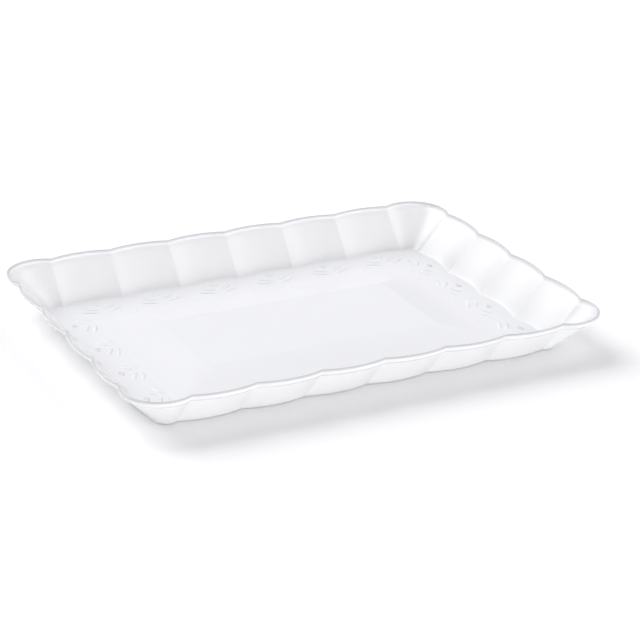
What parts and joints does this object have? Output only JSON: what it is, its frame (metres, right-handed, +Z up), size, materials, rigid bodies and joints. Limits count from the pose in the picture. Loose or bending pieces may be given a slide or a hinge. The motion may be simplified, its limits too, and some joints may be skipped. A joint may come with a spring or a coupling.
{
  "type": "scalloped serving tray",
  "caption": "Rectangular white plastic serving tray with a leaning, fluted wall, rounded corner fans, an upturned lip and a raised middle ringed by leaf sprigs.",
  "frame": {"origin": "middle of the tray's underside, on the surface that it rests on", "axes": "+X along the tray's length, +Y along its width, +Z up out of the open side"},
  "size_m": [0.3298, 0.2396, 0.0275],
  "materials": {
    "white_plastic": "glossy moulded white plastic, slightly translucent"
  },
  "bodies": {
    "root": {"tray": "white_plastic"}
  },
  "joints": []
}
